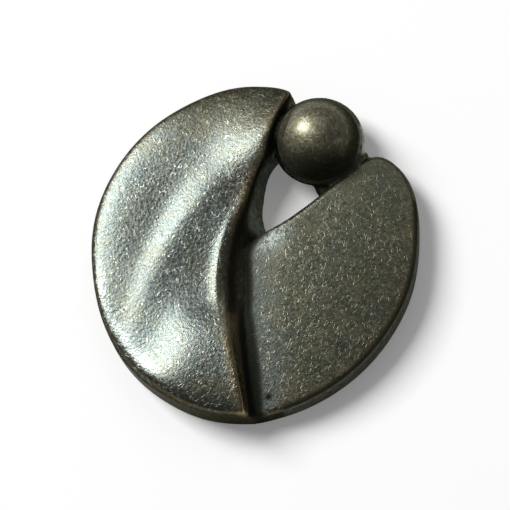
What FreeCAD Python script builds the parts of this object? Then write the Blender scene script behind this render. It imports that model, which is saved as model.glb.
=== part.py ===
import FreeCAD, Part
import math
import os
from FreeCAD import Vector

# A cast metal coat button. Two petals lie side by side on the face: a tall one with a folded
# surface on the left and a smooth domed one on the right. A ball in a low collar sits above
# them, a three-cornered hole passes between the three, and a shank with a sewing eye stands
# on the flat back. The whole button is one casting, so it is one solid.
#
# Lengths are millimetres and angles are degrees. The origin is the centre of the sewing eye,
# +Z points out of the face and +Y towards the ball's end of the face.

# Shank and eye
eye_radius = 1.1
shank_wall = 1.0
shank_width = 2.0
shank_flare = 0.7
shank_edge_radius = 0.35
shank_root = 0.5  # how far the shank is sunk into the back, so that it joins it
back_height = 1.9  # from the centre of the eye to the flat back

# Face
face_radius = 12.95  # the outlines below are given as shares of this radius
rim_height = 3.3  # from the back to the left petal's face, before its slopes and folds
rim_edge_radius = 0.6
crest_edge_radius = 0.18
wall_guide_height = 4.0  # height above the back at which the wall's upper line is given

# Left petal's surface: rises over the radius of the face, bowl and rim fall
rise_right = 0.35
rise_up = 0.17
bowl_depth = 0.55  # rise from the middle of the face to its rim
rim_fall = 1.04
rim_fall_width = 2.1

# The long fold: a step in the surface along an arc, which grows towards the tip
fold_rise = 0.41  # at the middle of the face
fold_growth_length = 8.6
fold_width = 0.4
fold_tip_width = 0.47  # how much wider the step is near the tip
fold_tip_blend = 1.0
fold_arc_radius = 25.0

# The swell near the bottom: a step outwards from an arc
swell_rise = 0.91
swell_width = 0.82
swell_arc_radius = 4.5
swell_end_width = 0.88

# The hollow under the head of the fold, and the lip along the crest
hollow_depth = 0.26
hollow_radius = 2.25
lip_rise = 0.16
lip_width = 0.36
lip_length = 3.3
lip_arc_radius = 12.0

# Right petal
right_height = 3.05  # from the back to the top of its dome
right_dome_radius = 90.0
right_edge_radius = 0.42

# Ball and collar
ball_radius = 3.12
ball_rise = 2.9  # from the back to the ball's centre
ball_slant = 40.0  # any point of the ball's profile between its collar and its top
collar_wall = 0.36  # how far the collar stands out round the ball
collar_foot_inset = 0.68
collar_foot_height = 2.4
collar_height = 2.75
collar_bevel = 0.22
ledge_height = 2.2  # of the ledges that join the collar to the petals

# A small casting pit in the right petal
pit_radius = 0.24
pit_depth = 0.12

# Places on the face, as shares of face_radius to the right and up from the middle
ball_place = (0.378, 0.643)
dome_place = (0.36, -0.17)
pit_place = (0.082, -0.882)
fold_arc_place = (1.161, -0.859)
fold_tip_share = 0.418
swell_arc_place = (-0.806, -0.436)
swell_share = -0.399
hollow_place = (-0.090, 0.386)
lip_arc_place = (0.715, -0.225)
lip_share = -0.164
rim_arc_place = (0.045, -0.016)
rim_arc_share = 1.011
crest_share = 0.25  # top edges with their middle further left than this are the rim's
left_surface_share = 0.35  # how far right the left petal's surface is made

# Outlines, as shares of face_radius. Both petals meet at one point of the bottom rim. The left
# one goes from there round its rim to the tip, the right one round its rim and inner edge and
# back down the groove.
bottom_meeting = (-0.010, -1.000)
left_rim = [
    bottom_meeting, (-0.120, -0.998), (-0.263, -0.977), (-0.499, -0.876), (-0.716, -0.698),
    (-0.873, -0.432), (-0.944, -0.108), (-0.936, 0.206), (-0.822, 0.491), (-0.630, 0.726),
    (-0.378, 0.890), (-0.090, 0.981), (0.055, 0.979), (0.134, 0.967), (0.202, 0.943),
    (0.250, 0.905), (0.262, 0.848),
]
right_rim = [
    bottom_meeting, (0.163, -0.961), (0.372, -0.877), (0.620, -0.699), (0.806, -0.466),
    (0.915, -0.220), (0.954, 0.090), (0.944, 0.271), (0.893, 0.412), (0.812, 0.508),
    (0.735, 0.548), (0.655, 0.535), (0.560, 0.463), (0.420, 0.345), (0.272, 0.228),
    (0.120, 0.130), (0.016, 0.068), (-0.032, 0.010), (-0.042, -0.110), (-0.044, -0.400),
    (-0.037, -0.750), bottom_meeting,
]
left_closing = (0.200, -0.620)  # corner of the left block, hidden in the right petal
# Corners of the two ledges, which start at the ball's place: to the right petal, and to the
# left one under the place where it touches the collar
ledges = [
    [(0.345, 0.395), (0.400, 0.310), (0.650, 0.480), (0.667, 0.569), (0.630, 0.598)],
    [(0.110, 0.665), (0.110, 0.760)],
]

# The left petal's inner wall: how far up the face, then how far to the right its upper line
# and its foot on the back are
wall_line = [
    (1.010, 0.255, 0.360), (0.774, 0.152, 0.205), (0.594, 0.087, 0.155),
    (0.515, 0.055, 0.092), (0.370, -0.001, 0.051), (0.230, -0.055, 0.043),
    (0.100, -0.116, 0.078), (-0.065, -0.165, 0.108), (-0.240, -0.174, 0.120),
    (-0.450, -0.138, 0.112), (-0.750, -0.083, 0.072), (-1.020, -0.050, 0.018),
]

# Room beyond the part for the bodies that only cut or trim
clear_of_part = 3.0
surface_step = 0.9  # distance between the points that the left petal's surface passes


def place(shares, height=0.0):
    """A point on the face, from its shares of face_radius and its height above the back."""
    return Vector(shares[0] * face_radius, shares[1] * face_radius, back_height + height)


def smooth_curve(points):
    """One smooth curve through the points."""
    curve = Part.BSplineCurve()
    curve.interpolate(points)
    return curve


def slab(rim, corners, height):
    """An upright block on the back. Its outline is a smooth rim, closed over the corners."""
    curve = smooth_curve([place(p) for p in rim])
    start, end = curve.FirstParameter, curve.LastParameter
    middle = (start + end) / 2
    edges = [curve.toShape(start, middle), curve.toShape(middle, end)]
    back = [place(p) for p in [rim[-1]] + corners + [rim[0]]]
    edges += [Part.makeLine(back[k], back[k + 1]) for k in range(len(back) - 1)
              if back[k] != back[k + 1]]
    return Part.Face(Part.Wire(edges)).extrude(Vector(0, 0, height))


def step(distance, width):
    """A smooth step from 0 to 1, centred where distance is 0."""
    return 1.0 / (1.0 + math.exp(-distance / width))


def left_surface_height(x, y):
    """Height of the left petal's surface above the back."""
    def away(shares):
        centre = place(shares)
        return math.hypot(x - centre.x, y - centre.y)

    height = rim_height + (rise_right * x + rise_up * y) / face_radius
    height += bowl_depth * (x * x + y * y) / face_radius ** 2

    inset = rim_arc_share * face_radius - away(rim_arc_place)
    height -= rim_fall * math.exp(-inset / rim_fall_width)

    above_tip = y - fold_tip_share * face_radius
    width = fold_width + fold_tip_width * step(above_tip, fold_tip_blend)
    growth = math.exp(y / fold_growth_length)
    height += fold_rise * growth * step(fold_arc_radius - away(fold_arc_place), width)

    below = swell_share * face_radius - y
    swell = step(away(swell_arc_place) - swell_arc_radius, swell_width)
    height += swell_rise * swell * step(below, swell_end_width)

    height -= hollow_depth * math.exp(-(away(hollow_place) / hollow_radius) ** 2)

    from_lip = max(away(lip_arc_place) - lip_arc_radius, 0.0)
    along_lip = (y - lip_share * face_radius) / lip_length
    height += lip_rise * math.exp(-from_lip / lip_width - along_lip ** 2)
    return height


def evenly(start, end):
    """Values from start to end, about surface_step apart."""
    parts = math.ceil((end - start) / surface_step)
    return [start + (end - start) * k / parts for k in range(parts + 1)]


def below_left_surface():
    """Everything under the left petal's surface, as a block."""
    reach = face_radius + clear_of_part
    columns = evenly(-reach, left_surface_share * face_radius)
    rows = evenly(-reach, reach)
    surface = Part.BSplineSurface()
    surface.interpolate([
        [Vector(x, y, back_height + left_surface_height(x, y)) for y in rows]
        for x in columns])
    return surface.toShape().extrude(Vector(0, 0, -2 * reach))


def wall_cutter():
    """The body that cuts the left petal's inner wall. It widens downwards to the right."""
    top_height = wall_guide_height + clear_of_part
    lean = top_height / wall_guide_height

    def section(height, share):
        line = [place((foot + (top - foot) * share, level), height)
                for level, top, foot in wall_line]
        far_right = face_radius + clear_of_part
        upper = Vector(far_right, line[0].y, line[0].z)
        lower = Vector(far_right, line[-1].y, line[-1].z)
        return Part.Wire([
            smooth_curve(line).toShape(), Part.makeLine(line[-1], lower),
            Part.makeLine(lower, upper), Part.makeLine(upper, line[0])])

    return Part.makeLoft([section(0.0, 0.0), section(top_height, lean)], True, True)


def top_edges(shape):
    """The long edges round the top of a block."""
    return [e for e in shape.Edges
            if e.BoundBox.ZMin > back_height + clear_of_part / 3 and e.Length > face_radius]


def left_petal():
    block = slab(left_rim, [left_closing], rim_height + clear_of_part)
    block = block.common(below_left_surface())
    block = block.makeFillet(rim_edge_radius, top_edges(block))
    petal = block.cut(wall_cutter())
    crest = [e for e in top_edges(petal) if e.CenterOfMass.x > -crest_share * face_radius]
    return petal.makeFillet(crest_edge_radius, crest)


def right_surface_height(shares):
    """Height of the right petal's dome above the back."""
    offset = (place(shares) - place(dome_place)).Length
    return right_height - right_dome_radius + math.sqrt(right_dome_radius ** 2 - offset ** 2)


def right_petal():
    block = slab(right_rim, [], right_height + clear_of_part)
    dome = Part.makeSphere(right_dome_radius)
    dome.rotate(Vector(0, 0, 0), Vector(1, 0, 0), 90)
    dome.translate(place(dome_place, right_height - right_dome_radius))
    block = block.common(dome)
    block = block.makeFillet(right_edge_radius, top_edges(block))
    pit_height = right_surface_height(pit_place) + pit_radius - pit_depth
    return block.cut(Part.makeSphere(pit_radius, place(pit_place, pit_height)))


def ball_and_collar():
    """The ball in its collar, turned about the upright line through the ball's centre."""
    radius = ball_radius + collar_wall
    below_centre = ball_rise - collar_height
    meeting = math.sqrt(ball_radius ** 2 - below_centre ** 2)
    slant = math.radians(ball_slant)
    outline = [
        Vector(0, 0, 0), Vector(radius - collar_foot_inset, 0, 0),
        Vector(radius, 0, collar_foot_height), Vector(radius, 0, collar_height - collar_bevel),
        Vector(meeting, 0, collar_height)]
    beside = Vector(
        ball_radius * math.cos(slant), 0, ball_rise + ball_radius * math.sin(slant))
    pole = Vector(0, 0, ball_rise + ball_radius)
    edges = [Part.makeLine(outline[k], outline[k + 1]) for k in range(len(outline) - 1)]
    edges.append(Part.Arc(outline[-1], beside, pole).toShape())
    edges.append(Part.makeLine(pole, outline[0]))
    turned = Part.Face(Part.Wire(edges)).revolve(Vector(0, 0, 0), Vector(0, 0, 1), 360)
    turned.translate(place(ball_place))
    return turned


def ledge(corners):
    """A low ledge on the back, from the ball's place to one of the petals."""
    outline = [place(p) for p in [ball_place] + corners + [ball_place]]
    return Part.Face(Part.makePolygon(outline)).extrude(Vector(0, 0, ledge_height))


def shank():
    """A half-round lug with the sewing eye through it, flaring out where it meets the back."""
    outer = eye_radius + shank_wall
    half = shank_width / 2
    foot = outer + shank_flare
    left_foot = Vector(-foot, -half, back_height)
    left = Vector(-outer, -half, 0)
    bottom = Vector(0, -half, -outer)
    right = Vector(outer, -half, 0)
    right_foot = Vector(foot, -half, back_height)
    top_right = Vector(foot, -half, back_height + shank_root)
    top_left = Vector(-foot, -half, back_height + shank_root)
    bend = back_height / 2
    left_side = Part.BezierCurve()
    left_side.setPoles([
        left_foot, Vector(-outer, -half, back_height), Vector(-outer, -half, bend), left])
    right_side = Part.BezierCurve()
    right_side.setPoles([
        right, Vector(outer, -half, bend), Vector(outer, -half, back_height), right_foot])
    edges = [
        left_side, Part.Arc(left, bottom, right), right_side,
        Part.LineSegment(right_foot, top_right), Part.LineSegment(top_right, top_left),
        Part.LineSegment(top_left, left_foot)]
    wire = Part.Wire([e.toShape() for e in edges])
    lug = Part.Face(wire).extrude(Vector(0, shank_width, 0))
    rounded = [e for e in lug.Edges if below_back(e) and on_side(e, half)]
    lug = lug.makeFillet(shank_edge_radius, rounded)
    eye = Part.makeCylinder(
        eye_radius, shank_width + 2 * clear_of_part,
        Vector(0, -half - clear_of_part, 0), Vector(0, 1, 0))
    return lug.cut(eye)


def below_back(edge):
    """Whether an edge runs below the back, rather than on it or in it."""
    near = shank_root / 50
    return edge.BoundBox.ZMin < back_height - near and edge.BoundBox.ZMax < back_height + near


def on_side(edge, half):
    """Whether an edge lies on one of the shank's two flat sides."""
    return math.isclose(abs(edge.CenterOfMass.y), half)


def casting():
    body = left_petal()
    for piece in [right_petal()] + [ledge(c) for c in ledges] + [ball_and_collar(), shank()]:
        body = body.fuse(piece)
    return body.removeSplitter()


os.makedirs("parts", exist_ok=True)
button = casting()
print("button: solids", len(button.Solids), "valid", button.isValid(),
      "volume", round(button.Volume, 1), "faces", len(button.Faces))
button.exportStep("parts/button.step")
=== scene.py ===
import math

import bmesh
import bpy
import numpy as np
from bpy.props import FloatProperty, FloatVectorProperty, IntProperty, PointerProperty
from mathutils import Matrix, Vector


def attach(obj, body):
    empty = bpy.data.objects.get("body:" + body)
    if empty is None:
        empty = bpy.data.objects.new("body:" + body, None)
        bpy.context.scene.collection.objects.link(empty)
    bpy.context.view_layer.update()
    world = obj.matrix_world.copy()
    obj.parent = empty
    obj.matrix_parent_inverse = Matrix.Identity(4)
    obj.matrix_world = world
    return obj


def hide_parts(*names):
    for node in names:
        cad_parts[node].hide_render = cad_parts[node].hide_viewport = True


bl_info = {
    "name": "Cast Metal Button",
    "version": (1, 0, 0),
    "blender": (4, 5, 0),
    "location": "3D View > Sidebar > Button",
    "description": "Builds a cast coat button with an antique finish, and its studio",
    "category": "Add Mesh",
}

# The button lies in the frame of its solid: metres, with the origin at the centre of the sewing
# eye, +Z out of the face and +Y towards the ball. The sizes below and the sculpting are in
# millimetres. A PLACE on the face and a level of y are given as shares of FACE_RADIUS.

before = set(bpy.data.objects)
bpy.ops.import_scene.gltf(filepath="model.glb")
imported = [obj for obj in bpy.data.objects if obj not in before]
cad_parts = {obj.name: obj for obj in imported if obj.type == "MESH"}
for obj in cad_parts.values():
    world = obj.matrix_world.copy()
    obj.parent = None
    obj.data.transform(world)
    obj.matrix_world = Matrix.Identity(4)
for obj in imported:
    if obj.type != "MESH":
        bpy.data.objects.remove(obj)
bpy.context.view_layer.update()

MM = 0.001

# The solid's own sizes, that the finer surface follows
BACK_HEIGHT = 1.9
FACE_RADIUS = 12.95

LEFT_HEIGHT = 3.3
LEFT_SLOPE = (0.35, 0.17)
BOWL_RISE = 0.55
LEFT_RIM_PLACE = (0.045, -0.016)
LEFT_RIM_RADIUS = 1.011 * FACE_RADIUS
RIM_FALL = 1.04
RIM_FALL_WIDTH = 2.1
FOLD_PLACE = (1.161, -0.859)
FOLD_RADIUS = 25.0
FOLD_HEIGHT = 0.41
FOLD_GROWTH = 8.6
FOLD_HEAD = 0.418
FOLD_EDGE = 0.4
FOLD_HEAD_EDGE = 0.87
SWELL_PLACE = (-0.806, -0.436)
SWELL_RADIUS = 4.5
SWELL_EDGE = 0.82
SWELL_HEIGHT = 0.91
SWELL_TOP = -0.399
SWELL_TOP_EDGE = 0.88
HOLLOW_PLACE = (-0.090, 0.386)
HOLLOW_RADIUS = 2.25
HOLLOW_DEPTH = 0.26
LIP_PLACE = (0.715, -0.225)
LIP_RADIUS = 12.0
LIP_HEIGHT = 0.16
LIP_WIDTH = 0.36
LIP_MIDDLE = -0.164
LIP_LENGTH = 3.3

RIGHT_HEIGHT = 3.05
DOME_RADIUS = 90.0
DOME_PLACE = (0.36, -0.17)
PIT_PLACE = (0.082, -0.882)
BALL_PLACE = (0.378, 0.643)
BALL_RADIUS = 3.12
BALL_RISE = 2.9

# The left petal's inner wall: y, x at the top and x at the foot
WALL_GUIDE_HEIGHT = 4.0
WALL_LINE = [
    (-1.020, -0.050, 0.018), (-0.750, -0.083, 0.072), (-0.450, -0.138, 0.112),
    (-0.240, -0.174, 0.120), (-0.065, -0.165, 0.108), (0.100, -0.116, 0.078),
    (0.230, -0.055, 0.043), (0.370, -0.001, 0.051), (0.515, 0.055, 0.092),
    (0.594, 0.087, 0.155), (0.774, 0.152, 0.205), (1.010, 0.255, 0.360),
]
RIGHT_RIM = [
    (0.163, -0.961), (0.372, -0.877), (0.620, -0.699), (0.806, -0.466), (0.915, -0.220),
    (0.954, 0.090), (0.944, 0.271),
]

# How near a surface a point must lie to be set on it: fully, and not at all
LEFT_SEAT = (0.05, 0.1)
FINE_SEAT = (0.02, 0.05)
FACING_UP = 0.6
CREST_MARGIN = 0.1
TIP_LEVEL = 0.99

# The shaping that is finer than the solid
SHOULDER_WIDTH = 4.0
SHOULDER_START = 0.25
CORNER_WIDTH = 1.1
CORNER_TURN = 210.0
CORNER_SPAN = 22.0
LIFT_MIDDLE = -0.105
LIFT_LENGTH = 3.6
LIFT_WIDTH = 0.3
LIP_TAIL_FALL = 0.15
CREST_ROLL_FOOT = 0.33
CREST_ROLL_HEIGHT = 0.4
CREST_ROLL_REACH = -1.2

# Where the shoulder and the hole end in x and the lip's lower end starts in y, in millimetres
SHOULDER_END_X = -4.5
HOLE_END_X = 3.2
LIP_TAIL_Y = -4.3

# Places, levels and depths that part the areas of the finish
NOOK_PLACE = (0.46, 0.42)
NOOK_RADIUS = 2.2
NOOK_TOP = 2.6
PALE_PLACE = (0.085, 0.085)
PALE_RADIUS = 1.15
PIT_MARK_RADIUS = 0.22
GROOVE_TOP = 0.08
GROOVE_WIDTH = 0.75
GROOVE_DEPTH = 0.5
GROOVE_DEPTH_GAIN_LOW = 0.45
BANK_SLOPE = 0.07
WALL_DEPTH = 0.3
WALL_DEPTH_GAIN_LOW = 0.65
WALL_REACH = 1.2
HOLE_FOOT = 0.1
HOLE_DEPTH = 1.2
FOOT_TOP = -0.1
OLIVE_FOOT_TOP = -0.8
HEAD_FOOT = 0.72
HOLLOW_LEVEL = 0.38
BROWN_FADE_LEVEL = 0.5
BALL_SHADE_SLOPE = 0.48
RIM_SHEEN_INSET = 0.75
RIM_LINE_INSET = 0.08

# How strongly each area counts in a layer of the finish
SHADE_ON_BALL = 0.95
SHADE_ON_PIT = 1.3
SHADE_LOSS_IN_HOLE = 0.7
STEEP_ON_HOLLOW = 0.75
STEEP_ON_RIGHT_RIM = 0.9
STEEP_ON_HEAD = 0.55
STEEP_LOSS_IN_HOLE = 0.9
STEEP_LOSS_ON_SHEEN = 0.6
BROWN_ON_RIGHT_RIM = 0.4
OLIVE_ON_FOOT = 0.7
OLIVE_ON_BAND = 0.9
PALE_IN_HOLE = 0.235
PALE_ON_SIDE = 0.24
SHEEN_ON_RIM_BAND = 0.34

# Shares that the layers of the finish cover, and how much more or less on some metal
WARM_SHARE = 0.2
WARM_GAIN_ON_OLIVE = 0.3
PALE_SHARE = 0.9
WORN_SHARE = 0.6
STEEP_SHARE = 0.75
BROWN_SHARE = 0.95
DARK_SPECK_SHARE = 0.48
DARK_SPECK_LOSS_ON_OLIVE = 0.3
BARE_SPECK_SHARE = 0.35
BARE_SPECK_LOSS_ON_OLIVE = 0.2
HAIR_SHARE = 0.85
HAIR_LOSS_ON_OLIVE = 0.48
HAIR_LOSS_ON_STEEP = 0.35
RECESS_SHARE = 0.8
PAINTED_SHADE_SHARE = 0.92

# What roughens the plating, and what stands out in its relief
SPECK_ROUGHNESS = 0.3
BLOTCH_ROUGHNESS = 0.1
RECESS_ROUGHNESS = 0.2
BALL_ROUGHNESS = 0.14
PAINTED_SHADE_ROUGHNESS = 0.5
COAT_ROUGHNESS = 0.19
COAT_LOSS_ON_SHADE = 2.0
SPECK_RELIEF = 0.35
HAIR_RELIEF = 0.4
RELIEF_LOSS_ON_OLIVE = 0.58
RELIEF_LOSS_ON_BALL = 0.6

# Rounds of averaging, for the skin and for finding its edges and recesses
SKIN_ROUNDS = 2
AREA_ROUNDS = 3
EDGE_ROUNDS = (25, 4)
EDGE_BULGE = 0.10
RECESS_ROUNDS = (80, 6)
RECESS_DEPTH = 0.25

# The floor is a board on which the back lies flat, with a slot for the shank
BOARD_HALF = 2000.0
SLOT_HALF_WIDTH = 3.1
SLOT_HALF_HEIGHT = 1.25

# The camera: direction from the button, the point looked at, and how the frame lies on it
VIEW_DIRECTION = (0.0852, -0.2621, 0.9613)
VIEW_POINT = (0.0, -0.2, 3.9)
VIEW_SHIFT = (0.0376, -0.113)
VIEW_DISTANCE = 300.0
PIXELS_PER_MM = 13.3
FRAME_PIXELS = 510.0
SENSOR_WIDTH = 36.0
NEAREST_SEEN = 10.0


# Sculpting the fine surface

def step(distance, width):
    """A smooth step from 0 to 1, centred where distance is 0."""
    return 1.0 / (1.0 + np.exp(-distance / width))


def near(error, full, none):
    """1 where the error is under full, 0 where it is over none, and smooth between."""
    t = np.clip((none - np.abs(error)) / (none - full), 0.0, 1.0)
    return t * t * (3.0 - 2.0 * t)


def bell(distance, width, power=2):
    """1 where distance is 0, falling off smoothly past the width. More power flattens the top."""
    return np.exp(-(distance / width) ** power)


def above(y, level):
    """Height of y over a level."""
    return y - level * FACE_RADIUS


def distance_from(x, y, place):
    """Distance across the face from a place."""
    return np.hypot(x - place[0] * FACE_RADIUS, y - place[1] * FACE_RADIUS)


def left_inset(x, y):
    """Distance inside the left petal's rim."""
    return LEFT_RIM_RADIUS - distance_from(x, y, LEFT_RIM_PLACE)


def right_inset(x, y):
    """Distance inside the right petal's rim, and far inside away from that petal."""
    rim = np.array(RIGHT_RIM)
    turns = np.arctan2(rim[:, 1], rim[:, 0])
    reaches = np.hypot(rim[:, 0], rim[:, 1])
    reach = np.interp(np.arctan2(y, x), turns, reaches, left=9.0, right=9.0)
    return reach * FACE_RADIUS - np.hypot(x, y)


def outside_lip(x, y):
    """Distance from the lip's line towards the left rim, less than 0 towards the crest."""
    return distance_from(x, y, LIP_PLACE) - LIP_RADIUS


def lip_profile(x, y):
    """Height of the solid's own lip as a share of its full height."""
    beside = np.maximum(outside_lip(x, y), 0.0)
    return np.exp(-beside / LIP_WIDTH) * bell(above(y, LIP_MIDDLE), LIP_LENGTH)


def left_surface(x, y):
    """Height of the left petal: a bowl with a fallen rim, a fold, a swell, a hollow and a lip."""
    level = BACK_HEIGHT + LEFT_HEIGHT
    level = level + (LEFT_SLOPE[0] * x + LEFT_SLOPE[1] * y) / FACE_RADIUS
    level = level + BOWL_RISE * (x * x + y * y) / FACE_RADIUS ** 2
    level = level - RIM_FALL * np.exp(-left_inset(x, y) / RIM_FALL_WIDTH)

    edge = FOLD_EDGE + (FOLD_HEAD_EDGE - FOLD_EDGE) * step(above(y, FOLD_HEAD), width=1.0)
    fold = step(FOLD_RADIUS - distance_from(x, y, FOLD_PLACE), edge)
    level = level + FOLD_HEIGHT * np.exp(y / FOLD_GROWTH) * fold

    swell = step(distance_from(x, y, SWELL_PLACE) - SWELL_RADIUS, SWELL_EDGE)
    level = level + SWELL_HEIGHT * swell * step(-above(y, SWELL_TOP), SWELL_TOP_EDGE)

    level = level - HOLLOW_DEPTH * bell(distance_from(x, y, HOLLOW_PLACE), HOLLOW_RADIUS)
    return level + LIP_HEIGHT * lip_profile(x, y)


def right_surface(x, y):
    """Height of the right petal's dome."""
    offset = distance_from(x, y, DOME_PLACE)
    return BACK_HEIGHT + RIGHT_HEIGHT - DOME_RADIUS + np.sqrt(DOME_RADIUS ** 2 - offset ** 2)


def from_crest(x, y, z):
    """How far a point lies to the left of the left petal's inner wall."""
    level, top, foot = np.array(WALL_LINE).T
    share = y / FACE_RADIUS
    top = np.interp(share, level, top)
    foot = np.interp(share, level, foot)
    return (foot + (top - foot) * (z - BACK_HEIGHT) / WALL_GUIDE_HEIGHT) * FACE_RADIUS - x


def from_ball(x, y, z):
    """The way from the ball's centre to each point."""
    return np.stack([
        above(x, BALL_PLACE[0]), above(y, BALL_PLACE[1]), z - BACK_HEIGHT - BALL_RISE], 1)


def seated(z, surface, where, seat):
    """Heights set on a surface that they already lie close to."""
    error = surface - z
    return z + np.where(where, error * near(error, *seat), 0.0)


def seated_on_ball(x, y, z):
    """Points of the ball's upper half set on its sphere."""
    arm = from_ball(x, y, z)
    length = np.linalg.norm(arm, axis=1)
    error = BALL_RADIUS - length
    shift = error * near(error, *FINE_SEAT) * (arm[:, 2] > 0.0)
    return (np.stack([x, y, z], 1) + arm * (shift / length)[:, None]).T


def lower_corner(x, y):
    """1 along the lower left part of the rim, and 0 away from it."""
    turn = np.degrees(np.arctan2(y, x)) % 360.0
    return bell(turn - CORNER_TURN, CORNER_SPAN, power=4)


def rim_rise(x, y, casting):
    """How much higher the surface stands inside the left rim."""
    inset = np.maximum(left_inset(x, y), 0.0)
    shoulder = np.exp(-inset / SHOULDER_WIDTH) - np.exp(-inset / SHOULDER_START)
    shoulder = casting.shoulder / MM * shoulder * step(SHOULDER_END_X - x, width=1.2)
    corner = casting.corner_lift / MM * np.exp(-inset / CORNER_WIDTH)
    return shoulder + corner * lower_corner(x, y)


def lip_rise(x, y, casting):
    """How much higher the lip stands, with a fall to the crest and none at its lower end."""
    outside = outside_lip(x, y)
    lift = casting.lip_lift / MM * np.exp(-np.maximum(outside, 0.0) / LIFT_WIDTH)
    lift = lift - casting.lip_fall * np.maximum(-outside, 0.0)
    lift = lift * bell(above(y, LIFT_MIDDLE), LIFT_LENGTH, power=4)
    return lift - LIP_TAIL_FALL * lip_profile(x, y) * step(LIP_TAIL_Y - y, width=0.5)


def crest_roll(x, y, z, casting):
    """How far the upper crest falls where it rolls off to the wall."""
    inside = from_crest(x, y, z)
    roll = np.exp(-np.maximum(inside, 0.0) / (casting.crest_roll_width / MM))
    roll = roll * np.exp(-np.maximum(left_surface(x, y) - z, 0.0) / CREST_ROLL_HEIGHT)
    roll = roll * step(above(y, CREST_ROLL_FOOT), width=0.5)
    roll = roll * (x < HOLE_END_X) * (inside > CREST_ROLL_REACH)
    return casting.crest_roll_depth / MM * roll


def sculpt(points, normals, casting):
    """Sets the faces' points on their exact surfaces, and shapes the rim, lip and crest."""
    x, y, z = points.T
    upward = normals[:, 2] > FACING_UP
    on_left = upward & (from_crest(x, y, z) > CREST_MARGIN) & (above(y, TIP_LEVEL) < 0.0)
    z = seated(z, left_surface(x, y), on_left, LEFT_SEAT)
    on_right = upward & (from_crest(x, y, z) < -CREST_MARGIN)
    z = seated(z, right_surface(x, y), on_right, FINE_SEAT)
    x, y, z = seated_on_ball(x, y, z)

    top = near(np.maximum(left_surface(x, y) - z, 0.0), full=0.4, none=1.6)
    top = top * (from_crest(x, y, z) > -0.5)
    z = z + top * (rim_rise(x, y, casting) + lip_rise(x, y, casting))
    return np.stack([x, y, z - crest_roll(x, y, z, casting)], 1)


# Areas of the finish

class Skin:
    """The skin's points, and where they lie against the button's lines and forms."""

    def __init__(self, points, normals):
        self.x, self.y, self.z = points.T
        self.normal_x, self.normal_y, self.normal_z = normals.T
        self.height = self.z - BACK_HEIGHT
        self.beyond = -from_crest(*points.T)
        self.below = left_surface(self.x, self.y) - self.z
        self.inset = right_inset(self.x, self.y)
        self.low = step(-above(self.y, FOOT_TOP), width=0.8)
        self.arm = from_ball(*points.T)
        self.ball = self.ball_area()
        self.hole = self.hole_area()
        # The right petal's outer side, where a reflection of the floor is painted pale
        self.side = step(0.4 - self.normal_z, width=0.06) * (self.inset < 0.12)
        self.collar = self.collar_area()
        self.head = step(above(self.y, HEAD_FOOT), width=0.7) * (self.beyond < 0.2)
        self.painted_sheen = self.rim_sheen_area()

    def distance_from(self, place):
        return distance_from(self.x, self.y, place)

    def ball_area(self):
        outside = np.linalg.norm(self.arm, axis=1) - BALL_RADIUS
        ball = near(np.maximum(outside, 0.0), full=0.05, none=0.2)
        return ball * step(self.arm[:, 2], width=0.3)

    def hole_area(self):
        """The left petal's wall inside the hole, where a reflection is painted pale."""
        hole = step(above(self.y, HOLE_FOOT), width=0.2) * (np.abs(self.beyond) < WALL_REACH)
        hole = hole * step(self.below - HOLE_DEPTH, width=0.2) * (self.x < HOLE_END_X)
        return hole * (1.0 - self.ball)

    def collar_area(self):
        """The sliver of the collar that shows to the right of the ball, where a reflection is
        painted pale.
        """
        outside = np.hypot(self.arm[:, 0], self.arm[:, 1]) - BALL_RADIUS
        collar = near(outside - 0.36, full=0.15, none=0.3)
        collar = collar * near(self.arm[:, 1] - 0.1, full=0.9, none=1.3)
        return collar * step(self.height - 0.6, width=0.1) * (self.arm[:, 0] > 0)

    def rim_sheen_area(self):
        """The band inside the lower left of the rim, where a highlight is painted."""
        band = bell(left_inset(self.x, self.y) - RIM_SHEEN_INSET, width=0.5)
        return band * lower_corner(self.x, self.y) * (self.normal_z > 0.5)


def groove_area(skin):
    """The groove along the foot of the left petal's wall, where shade is painted."""
    groove = bell(np.maximum(skin.beyond - GROOVE_WIDTH, 0.0), width=0.3) * (skin.beyond > -0.1)
    groove = groove * step(skin.below - GROOVE_DEPTH - GROOVE_DEPTH_GAIN_LOW * skin.low, width=0.1)
    return groove * step(-above(skin.y, GROOVE_TOP), width=0.2)


def groove_bank_area(skin):
    """The right petal's edge where it turns down into the groove, where shade is painted."""
    bank = step(-skin.normal_x - BANK_SLOPE, width=0.02)
    bank = bank * (skin.beyond > 0.2) * (skin.beyond < 3.2)
    return bank * step(-above(skin.y, HOLE_FOOT), width=0.2) * (skin.height > 0.8)


def wall_area(skin):
    """The left petal's wall just under the crest, where shade is painted."""
    wall = bell(skin.beyond, width=0.25) * (skin.normal_z < FACING_UP)
    wall = wall * step(skin.below - WALL_DEPTH - WALL_DEPTH_GAIN_LOW * skin.low, width=0.06)
    return wall * (1.0 - 0.8 * step(skin.below - 1.5, width=0.15))


def ball_underside_area(skin):
    """The ball's lower side and its flanks, where shade is painted."""
    lower = step(-skin.normal_y - BALL_SHADE_SLOPE, width=0.1)
    flank = step(FACING_UP - skin.normal_z, width=0.1)
    return SHADE_ON_BALL * skin.ball * np.maximum(lower, flank)


def nook_area(skin):
    """The deep nook between the ball and the right petal, where shade is painted."""
    nook = step(NOOK_RADIUS - skin.distance_from(NOOK_PLACE), width=0.2)
    return nook * step(NOOK_TOP - skin.height, width=0.1)


def pit_area(skin):
    """The casting pit, where shade is painted. It may be over 1, because averaging thins so small
    an area.
    """
    pit = step(PIT_MARK_RADIUS - skin.distance_from(PIT_PLACE), width=0.05)
    return SHADE_ON_PIT * pit * (skin.normal_z > 0.3)


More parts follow.
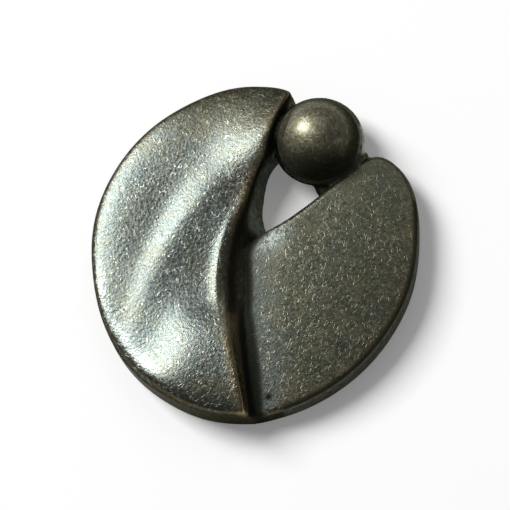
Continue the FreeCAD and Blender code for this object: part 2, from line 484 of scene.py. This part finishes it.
def painted_shade_area(skin):
    """Painted shade: groove and its bank, walls, the ball's underside, nook, pit and a line round
    the rim.
    """
    dark = np.maximum.reduce([area(skin) for area in (
        groove_area, groove_bank_area, wall_area, ball_underside_area, nook_area, pit_area)])
    dark = dark * (1.0 - SHADE_LOSS_IN_HOLE * skin.hole)
    # A dark line painted along the right petal's rim as shade
    dark = np.maximum(dark, bell(skin.inset - RIM_LINE_INSET, width=0.24))
    return dark * (1.0 - skin.side) * (1.0 - skin.collar)


def right_rim_area(skin):
    """The soft edge of the right petal."""
    return bell(np.maximum(skin.inset, 0.0), width=0.85)


def steep_shade_area(skin):
    """Painted shade on steep sides and soft edges, on the shaded hollow under the fold's head and
    on the head.
    """
    steep = near(np.maximum(skin.normal_z - 0.62, 0.0), full=0.0, none=0.31)
    steep = steep * (1.0 - skin.ball) * (1.0 - STEEP_LOSS_IN_HOLE * skin.hole)
    hollow = near(above(skin.y, HOLLOW_LEVEL), full=0.8, none=2.0)
    hollow = hollow * near(skin.beyond + 0.9, full=0.5, none=1.4) * (skin.below < 0.5)
    steep = np.maximum(steep, STEEP_ON_HOLLOW * hollow)
    steep = np.maximum(steep, STEEP_ON_RIGHT_RIM * right_rim_area(skin)) * (1.0 - skin.side)
    steep = np.maximum(steep, STEEP_ON_HEAD * skin.head * (1.0 - skin.ball))
    return steep * (1.0 - STEEP_LOSS_ON_SHEEN * skin.painted_sheen) * (1.0 - skin.collar)


def brown_area(skin):
    """Brown wear with a painted sheen: on the crest, but not along its lip, and on the edge of the
    right petal.
    """
    brown = bell(np.maximum(-skin.beyond, 0.0), width=0.5) * (1.0 - skin.ball)
    brown = brown * step(0.5 + 0.55 * skin.low - skin.below, width=0.08)
    brown = brown * step(0.2 + 0.5 * skin.low - skin.beyond, width=0.05)
    lip = bell(above(skin.y, LIP_MIDDLE), width=4.5, power=4) * (skin.beyond < -0.1)
    brown = brown * (1.0 - lip)
    brown = brown * (1.0 - 0.5 * step(above(skin.y, BROWN_FADE_LEVEL), width=0.8))
    right_rim = right_rim_area(skin) * step(skin.inset - 0.45, width=0.1)
    return np.maximum(brown, BROWN_ON_RIGHT_RIM * right_rim)


def olive_area(skin):
    """The olive metal of the right petal, of the left one's two ends and beside its lip."""
    petal = near(np.maximum(0.3 - skin.beyond, 0.0), full=0.0, none=0.3)
    petal = petal * step(skin.beyond - 2.2, width=0.7)
    foot = OLIVE_ON_FOOT * step(-above(skin.y, OLIVE_FOOT_TOP), width=0.5) * (skin.beyond < 0.2)
    inside_lip = -outside_lip(skin.x, skin.y)
    band = OLIVE_ON_BAND * step(inside_lip - 0.15, width=0.08) * (skin.beyond < 0.6)
    return np.maximum.reduce([petal, skin.head, foot, band]) * (1.0 - skin.ball)


def pale_area(skin):
    """A painted sheen and painted reflections: the corner by the hole, the collar, the hole's
    wall, the side and a band inside the lower left rim.
    """
    corner = bell(skin.distance_from(PALE_PLACE), PALE_RADIUS) * (skin.beyond > 1.0)
    return np.maximum.reduce([
        corner, skin.collar * (1.0 - skin.ball), PALE_IN_HOLE * skin.hole,
        PALE_ON_SIDE * skin.side, SHEEN_ON_RIM_BAND * skin.painted_sheen])


# Areas stored for the finish: olive and ball metal, painted shade in grooves, on walls, under the
# ball, in the nook and pit, painted shade on steep sides, brown wear with a painted sheen, and a
# painted sheen and reflections where it is pale
AREAS = {
    "olive": olive_area, "ball": lambda skin: skin.ball, "painted_shade": painted_shade_area,
    "steep": steep_shade_area, "brown": brown_area, "pale": pale_area}


def mesh_arrays(mesh):
    """The mesh's points, point normals and edges, in millimetres."""
    points = np.empty(len(mesh.vertices) * 3)
    normals = np.empty(len(mesh.vertices) * 3)
    edges = np.empty(len(mesh.edges) * 2, dtype=np.int32)
    mesh.vertices.foreach_get("co", points)
    mesh.vertices.foreach_get("normal", normals)
    mesh.edges.foreach_get("vertices", edges)
    return points.reshape(-1, 3) / MM, normals.reshape(-1, 3), edges.reshape(-1, 2)


def averaged(values, edges, rounds):
    """Each point's value, mixed with its neighbours' a number of times."""
    count = np.bincount(edges.ravel(), minlength=len(values)).astype(float)
    columns = values.reshape(len(values), -1).T
    for _ in range(rounds):
        columns = [0.5 * column + 0.5 * (
            np.bincount(edges[:, 0], column[edges[:, 1]], len(column)) +
            np.bincount(edges[:, 1], column[edges[:, 0]], len(column))) / count
            for column in columns]
    return np.stack(columns, 1).reshape(values.shape)


def bulge(points, normals, edges, rounds):
    """How far each point stands out of its surroundings."""
    wide, fine = rounds
    offset = points - averaged(points, edges, wide)
    return averaged(np.einsum("ij,ij->i", offset, normals), edges, fine)


def store(mesh, name, values):
    attribute = mesh.attributes.new(name, "FLOAT", "POINT")
    attribute.data.foreach_set("value", values.astype(np.float32))


def baked(piece):
    """Replaces the piece's mesh by what its modifiers make of it."""
    bpy.context.view_layer.update()
    graph = bpy.context.evaluated_depsgraph_get()
    made = bpy.data.meshes.new_from_object(piece.evaluated_get(graph))
    piece.modifiers.clear()
    piece.data = made
    return made


def dense_copy(node, name, casting):
    """A copy of a solid's mesh with evenly small faces."""
    mesh = node.data.copy()
    work = bmesh.new()
    work.from_mesh(mesh)
    bmesh.ops.remove_doubles(work, verts=work.verts, dist=1e-7)
    work.to_mesh(mesh)
    work.free()
    mesh.materials.clear()
    piece = bpy.data.objects.new(name, mesh)
    bpy.context.scene.collection.objects.link(piece)
    skin = piece.modifiers.new("skin", "REMESH")
    skin.mode = "VOXEL"
    skin.voxel_size = casting.face_step
    skin.use_smooth_shade = True
    baked(piece)
    return piece


def cast_skin_tree():
    """Geometry nodes that give a surface the slow waves of a cast skin."""
    tree = bpy.data.node_groups.new("cast_skin", "GeometryNodeTree")
    sockets = [
        ("Geometry", "INPUT", "NodeSocketGeometry"), ("Wave depth", "INPUT", "NodeSocketFloat"),
        ("Wave size", "INPUT", "NodeSocketFloat"), ("Seed", "INPUT", "NodeSocketInt"),
        ("Finish", "INPUT", "NodeSocketMaterial"), ("Geometry", "OUTPUT", "NodeSocketGeometry")]
    for label, side, kind in sockets:
        tree.interface.new_socket(label, in_out=side, socket_type=kind)

    def node(kind, settings, inputs):
        made = tree.nodes.new(kind)
        for key, value in settings.items():
            setattr(made, key, value)
        for key, value in inputs.items():
            if isinstance(value, bpy.types.NodeSocket):
                tree.links.new(value, made.inputs[key])
            else:
                made.inputs[key].default_value = value
        return made.outputs

    given = tree.nodes.new("NodeGroupInput").outputs
    place = node("GeometryNodeInputPosition", {}, {})[0]
    outward = node("GeometryNodeInputNormal", {}, {})[0]
    scale = node("ShaderNodeMath", {"operation": "DIVIDE"}, {0: 1.0, 1: given["Wave size"]})[0]
    waves = node(
        "ShaderNodeTexNoise", {"noise_dimensions": "4D"},
        {"Vector": place, "W": given["Seed"], "Scale": scale, "Detail": 2.0})[0]
    centred = node("ShaderNodeMath", {"operation": "SUBTRACT"}, {0: waves, 1: 0.5})[0]
    height = node(
        "ShaderNodeMath", {"operation": "MULTIPLY"}, {0: centred, 1: given["Wave depth"]})[0]
    offset = node("ShaderNodeVectorMath", {"operation": "SCALE"}, {0: outward, "Scale": height})[0]
    moved = node("GeometryNodeSetPosition", {}, {"Geometry": given["Geometry"], "Offset": offset})
    real = node("GeometryNodeRealizeInstances", {}, {"Geometry": moved[0]})
    finished = node(
        "GeometryNodeSetMaterial", {}, {"Geometry": real[0], "Material": given["Finish"]})
    tree.links.new(finished[0], tree.nodes.new("NodeGroupOutput").inputs[0])
    return tree


def apply_cast_skin(piece, finish, casting):
    tree = cast_skin_tree()
    skin = piece.modifiers.new("cast_skin", "NODES")
    skin.node_group = tree
    values = {
        "Wave depth": casting.wave_depth, "Wave size": casting.wave_size,
        "Seed": casting.wave_seed, "Finish": finish}
    for item in tree.interface.items_tree:
        if item.in_out == "INPUT" and item.name in values:
            skin[item.identifier] = values[item.name]
    return baked(piece)


# Finish

class Value:
    """A number that varies over the surface. Sums and products of it are Math nodes."""

    def __init__(self, finish, socket):
        self.finish = finish
        self.socket = socket

    def math(self, operation, first, second=0.0, clamp=False):
        return self.finish.node(
            "ShaderNodeMath", {"operation": operation, "use_clamp": clamp},
            {0: first, 1: second})

    def __add__(self, other):
        return self.math("ADD", self, other)

    __radd__ = __add__

    def __sub__(self, other):
        return self.math("SUBTRACT", self, other)

    def __rsub__(self, other):
        return self.math("SUBTRACT", other, self)

    def __mul__(self, other):
        return self.math("MULTIPLY", self, other)

    __rmul__ = __mul__

    def __abs__(self):
        return self.math("ABSOLUTE", self)

    def clamped(self):
        return self.math("ADD", self, 0.0, clamp=True)


class Finish:
    """A material and what its node tree is made of."""

    def __init__(self, name):
        self.material = bpy.data.materials.new(name)
        self.material.use_nodes = True
        self.tree = self.material.node_tree
        self.tree.nodes.clear()

    def node(self, kind, settings, inputs, output=0):
        """Adds a node, sets it up, fills or links its sockets and returns one output."""
        made = self.tree.nodes.new(kind)
        for key, value in settings.items():
            setattr(made, key, value)
        for key, value in inputs.items():
            if isinstance(value, Value):
                self.tree.links.new(value.socket, made.inputs[key])
            else:
                made.inputs[key].default_value = value
        return Value(self, made.outputs[output])

    def object_place(self):
        """Object coordinates in millimetres."""
        place = self.node("ShaderNodeTexCoord", {}, {}, "Object")
        return self.node(
            "ShaderNodeVectorMath", {"operation": "SCALE"}, {0: place, "Scale": 1.0 / MM})

    def attribute(self, name):
        return self.node("ShaderNodeAttribute", {"attribute_name": name}, {}, "Fac")

    def noise(self, place, scale, offset=None, detail=2.0, roughness=0.5, distortion=0.0):
        if offset:
            place = self.node("ShaderNodeMapping", {}, {"Vector": place, "Location": offset})
        return self.node(
            "ShaderNodeTexNoise", {},
            {"Vector": place, "Scale": scale, "Detail": detail, "Roughness": roughness,
             "Distortion": distortion}, "Fac")

    def hair(self, place, scale, offset):
        """Short curved hair scratches: pieces of the level lines of a slow noise."""
        paths = self.noise(place, scale, offset, detail=1.0, distortion=0.25)
        breaks = self.noise(place, scale * 1.3, offset[::-1])
        return self.between(abs(paths - 0.5), 0.026, 0.008) * self.between(breaks, 0.5, 0.55)

    def between(self, value, low, high):
        """0 below low, 1 above high, and smooth between."""
        return self.node(
            "ShaderNodeMapRange", {"interpolation_type": "SMOOTHSTEP"},
            {"Value": value, "From Min": low, "From Max": high}, "Result")

    def mixed(self, factor, first, second):
        """A colour between two. The first may come from another node."""
        first = first if isinstance(first, Value) else (*first, 1.0)
        return self.node(
            "ShaderNodeMix", {"data_type": "RGBA"}, {0: factor, 6: first, 7: (*second, 1.0)}, 2)

    def finish_with(self, shader):
        out = self.tree.nodes.new("ShaderNodeOutputMaterial")
        self.tree.links.new(shader.socket, out.inputs["Surface"])
        return self.material


def antique_metal(look):
    """Dark antique plating over cast metal: fine grain and warm worn edges, with painted shade in
    recesses, grooves and on steep sides, and a painted sheen and reflections on some faces.
    """
    finish = Finish("antique_metal")
    place = finish.object_place()
    edge, recess, olive, ball, painted_shade, steep, brown, pale = (
        finish.attribute(name) for name in ("edge", "recess", *AREAS))

    patches = finish.noise(place, 0.45, detail=3.0, roughness=0.6)
    blotches = finish.noise(place, 1.3, (7.0, 3.0, 1.0), detail=3.0, roughness=0.65)
    mottles = finish.noise(place, 2.4, (3.0, 8.0, 6.0), roughness=0.6)
    specks = finish.noise(place, look.speck_scale, (5.0, 1.0, 8.0), roughness=0.6)
    grain = finish.noise(place, look.grain_scale, (2.0, 9.0, 4.0), roughness=0.6)
    hair = finish.hair(place, look.hair_scale, (1.0, 6.0, 2.0))
    hair = (hair + finish.hair(place, look.hair_scale * 1.3, (6.0, 2.0, 9.0))).clamped()

    olive_metal = (olive + (mottles - 0.5) * 1.8 + (patches - 0.5) * 1.2).clamped()
    warm = finish.between(patches + (blotches - 0.5) * 0.6, 0.4, 0.7)
    # Painted sheen and reflections, broken up by mottles
    painted_sheen = pale * finish.between(mottles, 0.35, 0.55)
    worn = finish.between(edge + (blotches - 0.5) * 0.5, 0.25, 0.75)
    dark_specks = finish.between(specks, 0.46, 0.36)
    bare_specks = finish.between(specks, 0.58, 0.68)
    # Painted shade in recesses, where the skin lies deep among its surroundings
    deep = finish.between(recess + (blotches - 0.5) * 0.25, 0.45, 0.9)

    # Layers over the metal: the pale layer paints a sheen and reflections, the steep layer, the
    # recess layer and the last layer paint shade, and the brown layer is wear with a painted sheen
    layers = (
        (olive_metal, look.olive_colour),
        (warm * (WARM_SHARE + olive * WARM_GAIN_ON_OLIVE), look.warm_colour),
        (ball, look.ball_colour),
        (painted_sheen * PALE_SHARE, look.pale_colour),
        (worn * WORN_SHARE, look.warm_colour),
        (steep * STEEP_SHARE, look.steep_shade_colour),
        (brown * BROWN_SHARE, look.brown_colour),
        (dark_specks * (DARK_SPECK_SHARE - olive * DARK_SPECK_LOSS_ON_OLIVE), look.dark_colour),
        (bare_specks * (BARE_SPECK_SHARE - olive * BARE_SPECK_LOSS_ON_OLIVE), look.bare_colour),
        (hair * (HAIR_SHARE - olive * HAIR_LOSS_ON_OLIVE - steep * HAIR_LOSS_ON_STEEP),
         look.bare_colour),
        (deep * RECESS_SHARE, look.dark_colour),
        (painted_shade * PAINTED_SHADE_SHARE, look.dark_colour))
    colour = look.cool_colour
    for share, tint in layers:
        colour = finish.mixed(share, colour, tint)

    rough = look.roughness + (specks - 0.5) * SPECK_ROUGHNESS
    rough = rough + (blotches - 0.5) * BLOTCH_ROUGHNESS + deep * RECESS_ROUGHNESS
    rough = rough + ball * BALL_ROUGHNESS + painted_shade * PAINTED_SHADE_ROUGHNESS
    height = grain + specks * SPECK_RELIEF + hair * HAIR_RELIEF
    height = height * (1.0 - olive * RELIEF_LOSS_ON_OLIVE - ball * RELIEF_LOSS_ON_BALL)
    bump = finish.node(
        "ShaderNodeBump", {}, {"Height": height, "Strength": 1.0, "Distance": look.grain_depth})
    coat = (ball * look.ball_coat * (1.0 - painted_shade * COAT_LOSS_ON_SHADE)).clamped()
    return finish.finish_with(finish.node(
        "ShaderNodeBsdfPrincipled", {},
        {"Base Color": colour, "Metallic": 1.0, "Roughness": rough.clamped(), "Normal": bump,
         "Coat Weight": coat, "Coat Roughness": COAT_ROUGHNESS,
         "Specular Tint": (*look.rim_tint, 1.0)}))


def floor_paint(stage):
    """White paper. A share of what the camera and shiny faces see of it is plain white."""
    finish = Finish("pale_floor")
    lit = finish.node("ShaderNodeBsdfDiffuse", {}, {"Color": (*stage.floor_colour, 1.0)})
    white = finish.node("ShaderNodeEmission", {}, {"Color": (1, 1, 1, 1), "Strength": 1.0})
    camera = finish.node("ShaderNodeLightPath", {}, {}, "Is Camera Ray")
    glossy = finish.node("ShaderNodeLightPath", {}, {}, "Is Glossy Ray")
    share = (camera + glossy) * stage.floor_white
    return finish.finish_with(
        finish.node("ShaderNodeMixShader", {}, {"Fac": share, 1: lit, 2: white}))


# Settings

class ButtonCasting(bpy.types.PropertyGroup):
    face_step: FloatProperty(
        name="Face step", description="Width of the small faces of the surface",
        default=0.135 * MM, unit="LENGTH", precision=6)
    crest_roll_depth: FloatProperty(
        name="Crest roll", description="How far the upper crest rolls off to its wall",
        default=0.15 * MM, unit="LENGTH", precision=6)
    crest_roll_width: FloatProperty(
        name="Crest roll width", description="Distance over which the crest rolls off",
        default=0.4 * MM, unit="LENGTH", precision=6)
    shoulder: FloatProperty(
        name="Shoulder", description="How far the left petal swells inside its rim",
        default=0.35 * MM, unit="LENGTH", precision=6)
    corner_lift: FloatProperty(
        name="Corner lift", description="How much higher the lower left of the rim stands",
        default=0.3 * MM, unit="LENGTH", precision=6)
    lip_fall: FloatProperty(
        name="Lip fall", description="Slope of the narrow band between the lip and the crest",
        default=0.28)
    lip_lift: FloatProperty(
        name="Lip lift", description="How much higher the lip stands", default=0.065 * MM,
        unit="LENGTH", precision=6)
    wave_depth: FloatProperty(
        name="Wave depth", description="Depth of the slow waves of the cast skin",
        default=0.03 * MM, unit="LENGTH", precision=6)
    wave_size: FloatProperty(
        name="Wave size", description="Width of the slow waves of the cast skin",
        default=2.6 * MM, unit="LENGTH", precision=5)
    wave_seed: IntProperty(
        name="Wave seed", description="Which waves the cast skin has", default=4)


class ButtonFinish(bpy.types.PropertyGroup):
    cool_colour: FloatVectorProperty(
        name="Cool metal", description="Colour of the plating on the left petal",
        subtype="COLOR", size=3, default=(0.098, 0.116, 0.110))
    olive_colour: FloatVectorProperty(
        name="Olive metal", description="Colour of the plating on the right petal and walls",
        subtype="COLOR", size=3, default=(0.098, 0.102, 0.071))
    ball_colour: FloatVectorProperty(
        name="Ball metal", description="Colour of the plating on the ball", subtype="COLOR",
        size=3, default=(0.170, 0.155, 0.095))
    warm_colour: FloatVectorProperty(
        name="Warm wear", description="Colour of worn edges and warm patches",
        subtype="COLOR", size=3, default=(0.150, 0.135, 0.090))
    # Colour of brown wear and of a painted sheen on the crest and the right rim
    brown_colour: FloatVectorProperty(
        name="Brown edges", description="Reflected colour of the crest and the right rim",
        subtype="COLOR", size=3, default=(0.260, 0.212, 0.122))
    # Colour of a painted sheen and painted reflections
    pale_colour: FloatVectorProperty(
        name="Pale patch", description="Colour of the painted sheen and reflections",
        subtype="COLOR", size=3, default=(0.50, 0.56, 0.54))
    rim_tint: FloatVectorProperty(
        name="Glancing tint", description="Share of each colour reflected at a glancing angle",
        subtype="COLOR", size=3, default=(0.3, 0.3, 0.28))
    # Colour of the painted shade on steep sides and soft edges
    steep_shade_colour: FloatVectorProperty(
        name="Steep sides", description="Colour of the painted shade on steep sides and soft edges",
        subtype="COLOR", size=3, default=(0.062, 0.053, 0.036))
    # Colour of the dark specks, and of the painted shade in grooves, recesses, on walls, under the
    # ball and in the nook and pit
    dark_colour: FloatVectorProperty(
        name="Dark specks and painted shade", description="Colour of dark specks and of the painted shade in grooves, recesses and pits",
        subtype="COLOR", size=3, default=(0.022, 0.025, 0.018))
    bare_colour: FloatVectorProperty(
        name="Bare metal", description="Colour where specks and hair scratches are rubbed bare",
        subtype="COLOR", size=3, default=(0.33, 0.345, 0.28))
    roughness: FloatProperty(
        name="Roughness", description="Roughness of the plating", default=0.33,
        subtype="FACTOR", min=0.0, max=1.0)
    ball_coat: FloatProperty(
        name="Ball polish", description="How much the ball is polished", default=0.9,
        subtype="FACTOR", min=0.0, max=1.0)
    speck_scale: FloatProperty(
        name="Speck scale", description="Specks of the plating in a millimetre", default=4.5)
    grain_scale: FloatProperty(
        name="Grain scale", description="Grains of the tumbled skin in a millimetre",
        default=5.0)
    grain_depth: FloatProperty(
        name="Grain depth", description="Depth of the grain of the tumbled skin",
        default=0.026 * MM, unit="LENGTH", precision=6)
    hair_scale: FloatProperty(
        name="Hair scale", description="Hair scratches in a millimetre", default=1.4)


class ButtonStage(bpy.types.PropertyGroup):
    floor_colour: FloatVectorProperty(
        name="Floor", description="Colour of the floor", subtype="COLOR", size=3,
        default=(1.0, 1.0, 1.0))
    floor_white: FloatProperty(
        name="Floor white", description="How much the shadow on the floor is lightened",
        default=0.16, subtype="FACTOR", min=0.0, max=1.0)
    lamp_power: FloatProperty(
        name="Lamp power", description="Power of the soft key lamp", default=11.8,
        unit="POWER")
    lamp_rise: FloatProperty(
        name="Lamp rise", description="Angle of the key lamp above the floor",
        default=math.radians(47.3), subtype="ANGLE")
    lamp_turn: FloatProperty(
        name="Lamp turn", description="Direction of the key lamp round the button",
        default=math.radians(146.5), subtype="ANGLE")
    lamp_width: FloatProperty(
        name="Lamp width", description="Width of the key lamp", default=0.42, unit="LENGTH")
    lamp_height: FloatProperty(
        name="Lamp height", description="Height of the key lamp", default=0.56, unit="LENGTH")
    sky_light: FloatProperty(
        name="Room light", description="Strength of the soft light from all round",
        default=0.14)
    fill_power: FloatProperty(
        name="Fill power", description="Power of the soft second lamp", default=0.6,
        unit="POWER")
    fill_rise: FloatProperty(
        name="Fill rise", description="Angle of the second lamp above the floor",
        default=math.radians(50.0), subtype="ANGLE")
    fill_turn: FloatProperty(
        name="Fill turn", description="Direction of the second lamp round the button",
        default=math.radians(75.0), subtype="ANGLE")
    fill_size: FloatProperty(
        name="Fill size", description="Width and height of the second lamp", default=0.6,
        unit="LENGTH")


# Pieces

class BUTTON_OT_casting(bpy.types.Operator):
    """Build the cast button with its fine surface and antique finish"""

    bl_idname = "button.casting"
    bl_label = "Casting"

    def execute(self, context):
        casting = context.scene.button_casting
        piece = dense_copy(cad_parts["button"], "button_casting", casting)
        points, normals, edges = mesh_arrays(piece.data)
        points = sculpt(points, normals, casting)
        points = averaged(points, edges, SKIN_ROUNDS)
        piece.data.vertices.foreach_set("co", (points * MM).ravel())
        piece.data.update()

        mesh = apply_cast_skin(piece, antique_metal(context.scene.button_finish), casting)
        points, normals, edges = mesh_arrays(mesh)
        out = bulge(points, normals, edges, EDGE_ROUNDS)
        store(mesh, "edge", np.clip(out / EDGE_BULGE, 0.0, 1.0))
        out = bulge(points, normals, edges, RECESS_ROUNDS)
        store(mesh, "recess", np.clip(-out / RECESS_DEPTH, 0.0, 1.0))
        skin = Skin(points, normals)
        for name, area in AREAS.items():
            store(mesh, name, averaged(area(skin), edges, AREA_ROUNDS))

        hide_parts("button")
        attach(piece, "root")
        return {"FINISHED"}


def soft_lamp(name, rise, turn, width, height, power):
    """An area lamp one metre from the button, facing it."""
    toward = Vector((
        math.cos(rise) * math.cos(turn), math.cos(rise) * math.sin(turn), math.sin(rise)))
    light = bpy.data.lights.new(name, "AREA")
    light.shape = "RECTANGLE"
    light.size = width
    light.size_y = height
    light.energy = power
    lamp = bpy.data.objects.new(name, light)
    lamp.location = toward
    lamp.rotation_euler = toward.to_track_quat("Z", "Y").to_euler()
    bpy.context.scene.collection.objects.link(lamp)


def board(stage):
    """The floor, with the slot in it."""
    halves = ((BOARD_HALF, BOARD_HALF), (SLOT_HALF_WIDTH, SLOT_HALF_HEIGHT))
    corners = ((-1, -1), (1, -1), (1, 1), (-1, 1))
    points = [
        (wide * x * MM, high * y * MM, BACK_HEIGHT * MM)
        for wide, high in halves for x, y in corners]
    faces = [(k, (k + 1) % 4, (k + 1) % 4 + 4, k + 4) for k in range(4)]
    mesh = bpy.data.meshes.new("floor")
    mesh.from_pydata(points, [], faces)
    mesh.materials.append(floor_paint(stage))
    floor = bpy.data.objects.new("floor", mesh)
    bpy.context.scene.collection.objects.link(floor)
    return floor


def room_light(strength):
    world = bpy.data.worlds.new("room")
    world.use_nodes = True
    light = world.node_tree.nodes["Background"].inputs
    light["Strength"].default_value = strength
    light["Color"].default_value = (1, 1, 1, 1)
    bpy.context.scene.world = world


def view_camera():
    """The camera, upright against +Y."""
    away = Vector(VIEW_DIRECTION).normalized()
    up = (Vector((0, 1, 0)) - away.y * away).normalized()
    across = up.cross(away)
    target = Vector(VIEW_POINT) + VIEW_SHIFT[0] * across + VIEW_SHIFT[1] * up
    lens = bpy.data.cameras.new("camera")
    lens.sensor_width = SENSOR_WIDTH
    lens.lens = SENSOR_WIDTH * PIXELS_PER_MM * VIEW_DISTANCE / FRAME_PIXELS
    lens.clip_start = NEAREST_SEEN * MM
    camera = bpy.data.objects.new("camera", lens)
    camera.location = (target + VIEW_DISTANCE * away) * MM
    camera.rotation_euler = Matrix((across, up, away)).transposed().to_euler()
    bpy.context.scene.collection.objects.link(camera)
    bpy.context.scene.camera = camera


class BUTTON_OT_stage(bpy.types.Operator):
    """Set up the floor, the lamps, the room light and the camera"""

    bl_idname = "button.stage"
    bl_label = "Stage"

    def execute(self, context):
        stage = context.scene.button_stage
        floor = board(stage)
        soft_lamp(
            "key", stage.lamp_rise, stage.lamp_turn, stage.lamp_width, stage.lamp_height,
            stage.lamp_power)
        soft_lamp(
            "fill", stage.fill_rise, stage.fill_turn, stage.fill_size, stage.fill_size,
            stage.fill_power)
        room_light(stage.sky_light)
        view_camera()
        context.scene.view_settings.view_transform = "Standard"
        return {"FINISHED"}


class BUTTON_PT_panel(bpy.types.Panel):
    bl_idname = "BUTTON_PT_panel"
    bl_label = "Cast Metal Button"
    bl_space_type = "VIEW_3D"
    bl_region_type = "UI"
    bl_category = "Button"

    def draw(self, context):
        groups = ("button_casting", "button_finish", "button_stage")
        for group in groups:
            settings = getattr(context.scene, group)
            box = self.layout.box()
            for name in settings.__annotations__:
                box.prop(settings, name)
        self.layout.operator("button.casting")
        self.layout.operator("button.stage")


CLASSES = (
    ButtonCasting, ButtonFinish, ButtonStage, BUTTON_OT_casting, BUTTON_OT_stage,
    BUTTON_PT_panel)


def register():
    for kind in CLASSES:
        bpy.utils.register_class(kind)
    bpy.types.Scene.button_casting = PointerProperty(type=ButtonCasting)
    bpy.types.Scene.button_finish = PointerProperty(type=ButtonFinish)
    bpy.types.Scene.button_stage = PointerProperty(type=ButtonStage)


def unregister():
    del bpy.types.Scene.button_casting
    del bpy.types.Scene.button_finish
    del bpy.types.Scene.button_stage
    for kind in reversed(CLASSES):
        bpy.utils.unregister_class(kind)


def main():
    register()
    bpy.ops.button.casting()
    bpy.ops.button.stage()


if __name__ == "__main__":
    main()
